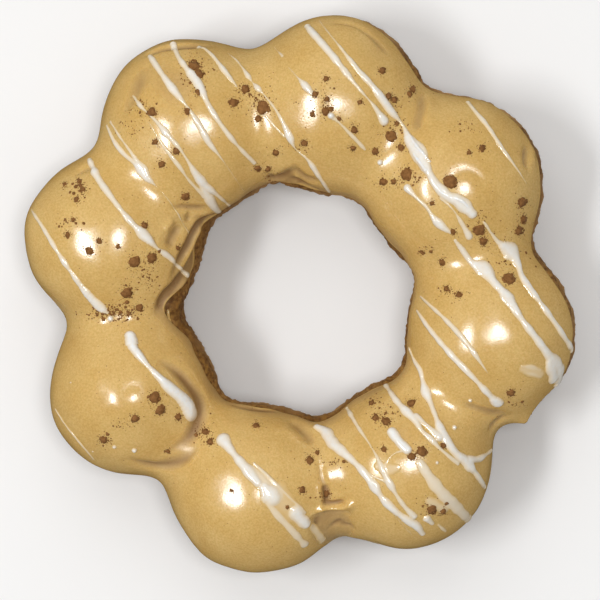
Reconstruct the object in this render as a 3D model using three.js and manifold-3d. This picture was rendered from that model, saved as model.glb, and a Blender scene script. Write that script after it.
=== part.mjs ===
// Mochi doughnut: a ring of eight joined dough balls, dipped in caramel icing,
// with white drizzle and clumps of cocoa fused to the icing.
// Millimetres, +Z up. The ring lies round the Z axis and rests on z = 0.
import * as THREE from 'three';
import { ParametricGeometry } from 'three/addons/geometries/ParametricGeometry.js';
import { mergeVertices } from 'three/addons/utils/BufferGeometryUtils.js';
import Module from 'manifold-3d';

// Ring of balls, measured to the outside of the icing
const CORE_RADIUS = 31;
const CENTRE_HEIGHT = 12.3;
const BALL_HALF_HEIGHT = 13.6;
const MELT = 3.2;
const BALLS = [
  { angle: 35.1, ring: 30.7, wide: 14.3, long: 13.9 },
  { angle: 79.8, ring: 31.2, wide: 14.4, long: 13.5 },
  { angle: 123.5, ring: 32.4, wide: 14.3, long: 13.8 },
  { angle: 164.5, ring: 31.8, wide: 14.3, long: 13.2 },
  { angle: 210.3, ring: 31.8, wide: 13.4, long: 12.9 },
  { angle: 257.4, ring: 32.5, wide: 13.6, long: 13.8 },
  { angle: 301.8, ring: 32.5, wide: 13.6, long: 13.6 },
  { angle: 348.4, ring: 31.6, wide: 13.6, long: 13.5 },
];

// Icing coat, and the angles round the section where it ends: 0 outwards, 90 up, 180 at the hole
const ICING_THICKNESS = 1.0;
const GAP = 0.3;
const LIP_BULGE = 3.5;
const OUTER_EDGE = {
  base: -6,
  waves: [{ count: 5, size: 2, turn: 40 }, { count: 13, size: 2, turn: 10 }],
  rises: [
    { at: 350, spread: 32, by: 21 },
    { at: 14, spread: 14, by: 10 },
    { at: 55, spread: 36, by: 21 },
    { at: 66, spread: 14, by: 6 },
  ],
};
const INNER_EDGE = {
  base: 164,
  waves: [{ count: 6, size: 1.5, turn: 100 }, { count: 11, size: 1.5, turn: 30 }],
  rises: [
    { at: 186, spread: 10, by: -17 },
    { at: 214, spread: 24, by: -8 },
    { at: 300, spread: 40, by: -6 },
    { at: 150, spread: 20, by: -4 },
  ],
};

// Bare dough: its depth under the level of the icing's surface, and the angle over which it swells to that
const BARE_DEPTH = 0.1;
const SWELL_ANGLE = 20;

// Eye along whose lines of sight the places in plan are dropped on to the icing, from the centre plane
const EYE = { x: 63.9, y: 28.7, z: 897.2 };

// Drizzle: each strand's ends in plan, its sideways bow, and its widths from start to end
const DRIZZLE_RISE = 0.4;
const DRIZZLE_RISE_MAX = 0.6;
const DRIZZLE_CROWN = 0.6;
const STRANDS = [
  { from: [-24.4, 38.2], to: [-9.0, 16.4], width: [1.2, 1.0, 0.5] },
  { from: [-20.3, 39.4], to: [-7.7, 21.1], width: [1.2, 1.4, 1.2] },
  { from: [-15.5, 39.4], to: [-10.4, 33.7], width: [1.0, 1.0] },
  { from: [-11.7, 38.7], to: [-8.7, 35.2], width: [0.9, 0.9, 1.3] },
  { from: [-6.9, 33.0], to: [-1.7, 25.1], width: [1.1, 0.7, 1.4] },
  { from: [-8.2, 31.6], to: [-2.7, 25.4], width: [0.8, 0.8] },
  { from: [0.2, 22.7], to: [4.6, 16.5], width: [1.1, 1.0] },
  { from: [-27.5, 31.9], to: [-11.4, 13.9], bow: -0.3, width: [1.0, 1.0, 1.4, 0.8] },
  { from: [-24.9, 27.4], to: [-13.0, 13.1], width: [0.6, 1.0, 1.2] },
  { from: [-31.0, 27.7], to: [-18.2, 9.7], width: [1.0, 1.0, 1.6, 0.8, 0.6] },
  { from: [-31.3, 27.1], to: [-26.3, 21.1], bow: -0.6, width: [0.7, 0.9] },
  { from: [-34.6, 21.7], to: [-18.2, 2.9], bow: -1.0, width: [1.1, 1.2, 1.6, 0.9, 0.8] },
  { from: [-43.0, 13.1], to: [-32.0, -3.1], bow: -0.4, width: [1.0, 1.1, 1.9] },
  { from: [-27.8, -6.8], to: [-17.4, -19.3], bow: -0.4, width: [1.9, 1.2, 2.2] },
  { from: [-39.6, -19.0], to: [-34.1, -26.9], width: [0.6, 0.7, 0.6] },
  { from: [-12.4, -23.7], to: [3.2, -39.7], bow: -0.5, width: [2.2, 1.4, 1.4, 2.2, 1.2] },
  { from: [-7.7, -31.8], to: [1.5, -41.3], width: [1.2, 1.4, 1.2] },
  { from: [4.0, -22.0], to: [19.8, -38.7], width: [1.9, 1.4, 1.2, 1.7, 1.2] },
  { from: [11.6, -30.8], to: [18.5, -39.2], width: [0.6, 0.7] },
  { from: [7.4, -18.5], to: [18.5, -36.3], width: [1.2, 0.8, 1.5] },
  { from: [15.0, -22.4], to: [17.4, -25.1], width: [1.9, 1.9] },
  { from: [19.2, -27.5], to: [27.1, -36.3], width: [1.5, 1.7, 1.5] },
  { from: [13.7, -14.7], to: [24.5, -26.7], width: [1.1, 1.1, 0.9] },
  { from: [19.4, -19.6], to: [22.9, -22.7], width: [0.8, 0.8] },
  { from: [18.4, -10.9], to: [29.6, -31.1], bow: -0.8, width: [0.9, 1.5, 1.1, 1.9, 1.0] },
  { from: [27.5, -26.9], to: [30.9, -25.3], bow: -0.5, width: [1.2, 1.0] },
  { from: [18.7, -2.6], to: [31.8, -17.8], bow: -0.5, width: [1.0, 1.1, 1.9] },
  { from: [19.2, 0.2], to: [30.2, -12.8], width: [0.9, 0.9, 0.6] },
  { from: [25.2, 8.6], to: [41.6, -14.0], bow: 1.1, width: [1.4, 2.4, 1.5, 1.5, 3.0] },
  { from: [29.2, 12.0], to: [43.4, -8.4], bow: 0.5, width: [0.7, 2.4, 1.3, 1.2] },
  { from: [3.0, 43.4], to: [19.2, 22.7], bow: 0.2, width: [0.7, 1.2, 1.2, 2.6] },
  { from: [19.2, 22.7], to: [27.5, 13.4], bow: -0.7, width: [2.4, 1.6, 1.9] },
  { from: [24.7, 13.9], to: [27.5, 9.4], width: [1.2, 1.8] },
  { from: [1.1, 43.0], to: [13.5, 27.7], bow: 0.4, width: [1.3, 1.0, 1.4] },
  { from: [-1.9, 36.5], to: [1.1, 33.4], width: [0.8, 1.1] },
  { from: [6.7, 26.9], to: [10.3, 23.3], width: [0.8, 0.8] },
  { from: [17.4, 16.8], to: [25.0, 8.6], width: [1.2, 1.0, 1.7] },
  { from: [27.3, 30.8], to: [36.7, 17.7], width: [0.8, 1.0, 0.6] },
];

// Largest pools of drizzle and clumps of cocoa: place in plan and radius
const POOLS = [
  { at: [-5.1, -32.4], radius: 1.5 },
  { at: [0, -36.6], radius: 1.3 },
  { at: [-15.0, 14.9], radius: 0.9 },
  { at: [34.3, 6.6], radius: 1.7 },
  { at: [12.9, 21.2], radius: 0.6 },
];
const COCOA_RISE = 0.35;
const CLUMPS = [
  { at: [-17.4, 36.8], radius: 1.0 },
  { at: [-16.6, 35.5], radius: 0.9 },
  { at: [-9.0, 33.0], radius: 0.8 },
  { at: [-10.9, 30.9], radius: 0.8 },
  { at: [-6.1, 30.0], radius: 1.2 },
  { at: [-24.2, 29.3], radius: 0.8 },
  { at: [-18.7, 15.6], radius: 0.7 },
  { at: [-27.0, 5.0], radius: 1.0 },
  { at: [-24.2, 5.7], radius: 0.9 },
  { at: [-28.1, 0.0], radius: 1.0 },
  { at: [-34.4, 6.8], radius: 0.7 },
  { at: [4.1, 29.5], radius: 0.7 },
  { at: [14.7, 25.4], radius: 1.0 },
  { at: [17.1, 19.3], radius: 1.1 },
  { at: [13.4, 18.1], radius: 0.7 },
  { at: [24.2, 18.1], radius: 1.2 },
  { at: [35.9, 14.7], radius: 0.9 },
  { at: [36.0, 12.0], radius: 0.7 },
  { at: [28.9, 10.2], radius: 1.0 },
  { at: [33.8, 2.4], radius: 1.1 },
  { at: [-23.9, -17.0], radius: 1.0 },
  { at: [-22.9, -19.0], radius: 0.9 },
  { at: [-27.0, -20.4], radius: 0.7 },
  { at: [-32.2, -24.0], radius: 0.7 },
  { at: [1.5, -27.1], radius: 0.7 },
  { at: [13.9, -20.7], radius: 0.8 },
  { at: [17.9, -17.7], radius: 0.7 },
  { at: [19.7, -25.6], radius: 0.9 },
  { at: [21.3, -35.0], radius: 0.9 },
  { at: [34.1, -16.0], radius: 0.7 },
];

// Facets
const RING_STEPS = 72;
const OUTER_STEPS = 11;
const COVER_STEPS = 9;
const LIP_STEPS = 3;
const BARE_STEPS = 8;
const STRAND_SIDES = 4;
const STRAND_STEP = 3.2;
const STRAND_END_STEPS = 3;
const STRAND_LEAST_STEPS = 5;
const CAP_SIDES = 6;
const CAP_RINGS = 3;

// Search for a surface: halvings, reach from the core circle, height over the centre plane
const HALVINGS = 36;
const LEAST_REACH = 1;
const MOST_REACH = 24;
const MOST_HEIGHT = 20;

// Small steps for slopes and directions, and the distance within which corners are one
const SLOPE_STEP = 0.05;
const ALONG_STEP = 0.01;
const WELD = 1e-3;

const wasm = await Module();
wasm.setup();

// Depth below the icing's outer surface of a point given from the centre plane, negative inside
function depthField(x, y, z) {
  let sum = 0;
  for (const ball of BALLS) {
    const angle = THREE.MathUtils.degToRad(ball.angle);
    const across = x * Math.cos(angle) + y * Math.sin(angle) - ball.ring;
    const along = y * Math.cos(angle) - x * Math.sin(angle);
    const size = Math.hypot(across / ball.wide, along / ball.long, z / BALL_HALF_HEIGHT);
    const slope = Math.hypot(across / ball.wide ** 2, along / ball.long ** 2, z / BALL_HALF_HEIGHT ** 2);
    sum += Math.exp((-size * (size - 1)) / (slope || 1) / MELT);
  }
  return -MELT * Math.log(sum);
}

// Largest value in low..high for which the test still holds
function lastInside(low, high, test) {
  for (let round = 0; round < HALVINGS; round += 1) {
    const middle = (low + high) / 2;
    if (test(middle)) low = middle;
    else high = middle;
  }
  return low;
}

// Point on the surface at a depth level, along a ray from the core circle
function surfacePoint(theta, phi, level, target) {
  const place = (reach) => {
    const radius = CORE_RADIUS + reach * Math.cos(phi);
    return target.set(radius * Math.cos(theta), radius * Math.sin(theta), reach * Math.sin(phi));
  };
  const reach = lastInside(LEAST_REACH, MOST_REACH, (length) => {
    const point = place(length);
    return depthField(point.x, point.y, point.z) < level;
  });
  place(reach);
  target.z += CENTRE_HEIGHT;
  return target;
}

// Angle round the section where the icing ends, at a place round the ring
function edgeAngle(edge, theta) {
  const turn = THREE.MathUtils.radToDeg(theta);
  let angle = edge.base;
  for (const wave of edge.waves) {
    angle += wave.size * Math.sin(THREE.MathUtils.degToRad(wave.count * turn + wave.turn));
  }
  for (const rise of edge.rises) {
    const away = THREE.MathUtils.euclideanModulo(turn - rise.at + 180, 360) - 180;
    angle += rise.by * Math.exp(-((away / rise.spread) ** 2));
  }
  return THREE.MathUtils.degToRad(angle);
}

// Closed ring whose section has a given number of steps, described by angle and level at each
function ringGeometry(sectionSteps, sectionAt) {
  const place = (u, v, target) => {
    const theta = (u % 1) * 2 * Math.PI;
    const { phi, level } = sectionAt(theta, Math.round(v * sectionSteps) % sectionSteps);
    surfacePoint(theta, phi, level, target);
    target.z = Math.max(target.z, 0);
  };
  const geometry = new ParametricGeometry(place, RING_STEPS, sectionSteps);
  geometry.deleteAttribute('normal');
  geometry.deleteAttribute('uv');
  return mergeVertices(geometry);
}

// Dough: the stretch under the icing, then the bare stretch round the bottom, which swells past the edge
function doughSection(theta, step) {
  const covered = -ICING_THICKNESS - GAP;
  const outer = edgeAngle(OUTER_EDGE, theta);
  const inner = edgeAngle(INNER_EDGE, theta);
  if (step <= COVER_STEPS) {
    return { phi: THREE.MathUtils.lerp(outer, inner, step / COVER_STEPS), level: covered };
  }
  const phi = THREE.MathUtils.lerp(inner, outer + 2 * Math.PI, (step - COVER_STEPS) / BARE_STEPS);
  const past = Math.min(phi - inner, outer + 2 * Math.PI - phi);
  const swell = THREE.MathUtils.smoothstep(past, 0, THREE.MathUtils.degToRad(SWELL_ANGLE));
  return { phi, level: THREE.MathUtils.lerp(covered, -BARE_DEPTH, swell) };
}

// Icing: over the outside, round the lip at the hole, back along the inside, round the outer lip
function icingSection(theta, step) {
  const outer = edgeAngle(OUTER_EDGE, theta);
  const inner = edgeAngle(INNER_EDGE, theta);
  const bulge = THREE.MathUtils.degToRad(LIP_BULGE);
  const lip = (edge, way, turn) => ({
    phi: edge + way * bulge * Math.sin(turn),
    level: (-ICING_THICKNESS * (1 - Math.cos(turn))) / 2,
  });
  if (step <= OUTER_STEPS) return { phi: THREE.MathUtils.lerp(outer, inner, step / OUTER_STEPS), level: 0 };
  let rest = step - OUTER_STEPS;
  if (rest < LIP_STEPS) return lip(inner, 1, (Math.PI * rest) / LIP_STEPS);
  rest -= LIP_STEPS;
  if (rest <= COVER_STEPS) {
    return { phi: THREE.MathUtils.lerp(inner, outer, rest / COVER_STEPS), level: -ICING_THICKNESS };
  }
  rest -= COVER_STEPS;
  return lip(outer, -1, Math.PI * (1 - rest / LIP_STEPS));
}

// Place on top of the icing that the eye sees over a point in plan, with the surface's normal
function topOfIcing(planX, planY) {
  const seenX = (z) => planX + ((EYE.x - planX) / EYE.z) * z;
  const seenY = (z) => planY + ((EYE.y - planY) / EYE.z) * z;
  const height = lastInside(0, MOST_HEIGHT, (z) => depthField(seenX(z), seenY(z), z) < 0);
  const x = seenX(height);
  const y = seenY(height);
  const normal = new THREE.Vector3(
    depthField(x + SLOPE_STEP, y, height) - depthField(x - SLOPE_STEP, y, height),
    depthField(x, y + SLOPE_STEP, height) - depthField(x, y - SLOPE_STEP, height),
    depthField(x, y, height + SLOPE_STEP) - depthField(x, y, height - SLOPE_STEP),
  ).normalize();
  return { point: new THREE.Vector3(x, y, height + CENTRE_HEIGHT), normal };
}

// Width at a share of the way along, between the listed widths
function widthAt(widths, share) {
  const place = share * (widths.length - 1);
  const before = Math.min(Math.floor(place), widths.length - 2);
  return THREE.MathUtils.lerp(widths[before], widths[before + 1], place - before);
}

// Drizzle strand: a sphere drawn out along its path, flattened on to the icing
function strandGeometry({ from, to, bow = 0, width }) {
  const start = new THREE.Vector2(...from);
  const end = new THREE.Vector2(...to);
  const run = end.clone().sub(start);
  const aside = new THREE.Vector2(-run.y, run.x).normalize();
  const planAt = (t) => start.clone().addScaledVector(run, t).addScaledVector(aside, bow * 4 * t * (1 - t));
  const steps = Math.max(STRAND_LEAST_STEPS, Math.round(run.length() / STRAND_STEP) + STRAND_END_STEPS);
  const roundEnd = width[0] / 2 / run.length();
  const geometry = new THREE.SphereGeometry(1, STRAND_SIDES, steps, Math.PI / STRAND_SIDES);
  const spots = geometry.attributes.position;
  const ball = new THREE.Vector3();
  for (let i = 0; i < spots.count; i += 1) {
    ball.fromBufferAttribute(spots, i);
    const t = Math.acos(THREE.MathUtils.clamp(ball.y, -1, 1)) / Math.PI;
    const here = topOfIcing(...planAt(t).toArray());
    const ahead = topOfIcing(...planAt(Math.min(t + ALONG_STEP, 1)).toArray());
    const behind = topOfIcing(...planAt(Math.max(t - ALONG_STEP, 0)).toArray());
    const along = ahead.point.sub(behind.point).normalize();
    const side = new THREE.Vector3().crossVectors(here.normal, along).normalize();
    const wide = widthAt(width, t);
    const taper = Math.min(1, Math.sqrt(Math.min(t, 1 - t) / roundEnd));
    const rise = Math.min(DRIZZLE_RISE_MAX, DRIZZLE_RISE * wide);
    const reach = ball.z > 0 ? DRIZZLE_CROWN : 1;
    const spot = here.point
      .addScaledVector(side, (Math.sign(ball.x) * reach * taper * wide) / 2)
      .addScaledVector(here.normal, Math.sign(ball.z) * taper * rise);
    spots.setXYZ(i, spot.x, spot.y, spot.z);
  }
  return geometry;
}

// Low round cap lying on the icing, for a pool of drizzle or a clump of cocoa
function capGeometry({ at, radius }, rise) {
  const { point, normal } = topOfIcing(...at);
  const upright = new THREE.Quaternion().setFromUnitVectors(new THREE.Vector3(0, 1, 0), normal);
  const geometry = new THREE.SphereGeometry(1, CAP_SIDES, CAP_RINGS);
  geometry.scale(radius, rise, radius);
  geometry.applyQuaternion(upright);
  geometry.translate(...point.toArray());
  return geometry;
}

function toSolid(geometry) {
  const bare = geometry.clone();
  bare.deleteAttribute('normal');
  bare.deleteAttribute('uv');
  const merged = mergeVertices(bare, WELD);
  return new wasm.Manifold(new wasm.Mesh({
    numProp: 3,
    vertProperties: new Float32Array(merged.attributes.position.array),
    triVerts: new Uint32Array(merged.index.array),
  }));
}

function toGeometry(solid) {
  const mesh = solid.getMesh();
  const geometry = new THREE.BufferGeometry();
  geometry.setAttribute('position', new THREE.BufferAttribute(mesh.vertProperties, 3));
  geometry.setIndex(new THREE.BufferAttribute(mesh.triVerts, 1));
  return geometry;
}

function icingGeometry() {
  const sectionSteps = OUTER_STEPS + COVER_STEPS + 2 * LIP_STEPS;
  let solid = toSolid(ringGeometry(sectionSteps, icingSection));
  const toppings = [
    ...STRANDS.map(strandGeometry),
    ...POOLS.map((pool) => capGeometry(pool, DRIZZLE_RISE_MAX)),
    ...CLUMPS.map((clump) => capGeometry(clump, COCOA_RISE)),
  ];
  for (const topping of toppings) solid = solid.add(toSolid(topping));
  return toGeometry(solid);
}

function namedMesh(name, geometry, colour, roughness) {
  const material = new THREE.MeshStandardMaterial({ color: colour, roughness, metalness: 0 });
  const mesh = new THREE.Mesh(geometry, material);
  mesh.name = name;
  return mesh;
}

const doughnut = new THREE.Group();
doughnut.add(namedMesh('dough', ringGeometry(COVER_STEPS + BARE_STEPS, doughSection), 0x94683a, 0.75));
doughnut.add(namedMesh('icing', icingGeometry(), 0xd8b470, 0.3));

export default doughnut;
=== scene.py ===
"""Looks of the mochi doughnut: fried dough, caramel icing, white drizzle and cocoa, shaped in millimetres."""
from types import SimpleNamespace

import bpy
import numpy as np
from numpy.linalg import norm
from mathutils import Matrix, Vector


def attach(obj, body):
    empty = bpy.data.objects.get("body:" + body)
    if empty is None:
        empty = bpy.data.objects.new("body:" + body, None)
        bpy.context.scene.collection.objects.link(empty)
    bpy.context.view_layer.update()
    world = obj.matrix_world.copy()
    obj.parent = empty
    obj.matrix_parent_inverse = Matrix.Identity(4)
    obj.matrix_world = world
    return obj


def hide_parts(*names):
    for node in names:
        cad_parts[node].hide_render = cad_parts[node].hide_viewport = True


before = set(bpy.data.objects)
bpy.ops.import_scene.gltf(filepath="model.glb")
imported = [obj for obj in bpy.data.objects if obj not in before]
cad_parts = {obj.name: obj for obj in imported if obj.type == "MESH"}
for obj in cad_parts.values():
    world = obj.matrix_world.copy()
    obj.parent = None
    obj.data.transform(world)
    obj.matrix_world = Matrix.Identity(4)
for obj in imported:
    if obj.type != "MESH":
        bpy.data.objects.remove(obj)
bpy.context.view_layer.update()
MM = 0.001

# Ring of balls, to the outside of the icing, and how far they melt together. A ball has its angle,
# ring radius, half width and half length
CORE_RADIUS = 31.0
CENTRE_HEIGHT = 12.3
BALL_HALF_HEIGHT = 13.6
MELT = 3.2
BALLS = (
    (35.1, 30.7, 14.3, 13.9),
    (79.8, 31.2, 14.4, 13.5),
    (123.5, 32.4, 14.3, 13.8),
    (164.5, 31.8, 14.3, 13.2),
    (210.3, 31.8, 13.4, 12.9),
    (257.4, 32.5, 13.6, 13.8),
    (301.8, 32.5, 13.6, 13.6),
    (348.4, 31.6, 13.6, 13.5),
)

# Icing coat: thickness, bulge of its lips in degrees, and slow waves as height, scale and seed
ICING_THICKNESS = 1.0
LIP_BULGE = 3.5
ICING_WAVES = ((0.07, 8.0, 3), (0.008, 3.0, 4))

# Share of the icing's section next to the hole that gets painted shade, and how strong that painted shade
# gets
INNER_RIM = 0.08
RIM_PAINTED_SHADE = 0.5

# Angles round the section where the icing ends: 0 outwards, 90 up, 180 at the hole. A wave has its count,
# size and start; a rise has its place round the ring, spread and size
OUTER_EDGE = {
    "base": -6,
    "waves": ((5, 2, 40), (13, 2, 10), (29, 0.8, 70)),
    "rises": ((350, 32, 21), (14, 14, 10), (55, 36, 21), (66, 14, 6)),
}
INNER_EDGE = {
    "base": 164,
    "waves": ((6, 1.5, 100), (11, 1.5, 30), (27, 0.8, 10)),
    "rises": ((186, 10, -17), (214, 24, -8), (300, 40, -6), (150, 20, -4)),
}

# Dough: its depth under the icing, its depth where it is bare, and the angle over which it swells to that
DOUGH_COVERED = -1.15
DOUGH_BARE = -0.1
DOUGH_SWELL = 20.0

# Crust of bare dough: layers of noise as height, scale and seed, and the limits of their sum
CRUST = ((0.08, 3.0, 11), (0.07, 1.6, 12), (0.06, 0.9, 13))
CRUST_LIMITS = (-0.35, 0.3)

# Paler waist of the dough, from the centre plane, with the noise that wavers it
WAIST = {"height": -2.5, "half": 2.2, "strength": 0.8, "waver": ((0.8, 8.0, 14),)}

# Eye that the plan places were read from, in the centre plane's frame, and the point it looks at
EYE_DISTANCE = 900.0
EYE_TILT = 4.5
EYE_TURN = 25.0
LOOK_AT = (-0.1, -1.1)
PICTURE_WIDTH = 97.2
SENSOR_WIDTH = 36.0

# Drizzle's section: rise for each millimetre of width and its limit, power that rounds the crown,
# softness of joins, and depth of edge and base in the icing
DRIZZLE_RISE = 0.3
DRIZZLE_RISE_MAX = 0.45
DRIZZLE_CROWN = 2.5
DRIZZLE_SOFTNESS = 0.04
DRIZZLE_EDGE_DEPTH = 0.2
DRIZZLE_BASE_DEPTH = 0.4

# Drizzle's run: step, noise that wavers its width, least width, how full a drop is, and limits of height
DRIZZLE_STEP = 0.2
DRIZZLE_WAVER = ((0.12, 2.5, 41),)
DRIZZLE_LEAST_WIDTH = 0.12
DROP_BODY = 1.7
DRIZZLE_HEIGHTS = (-1, 2)

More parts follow.
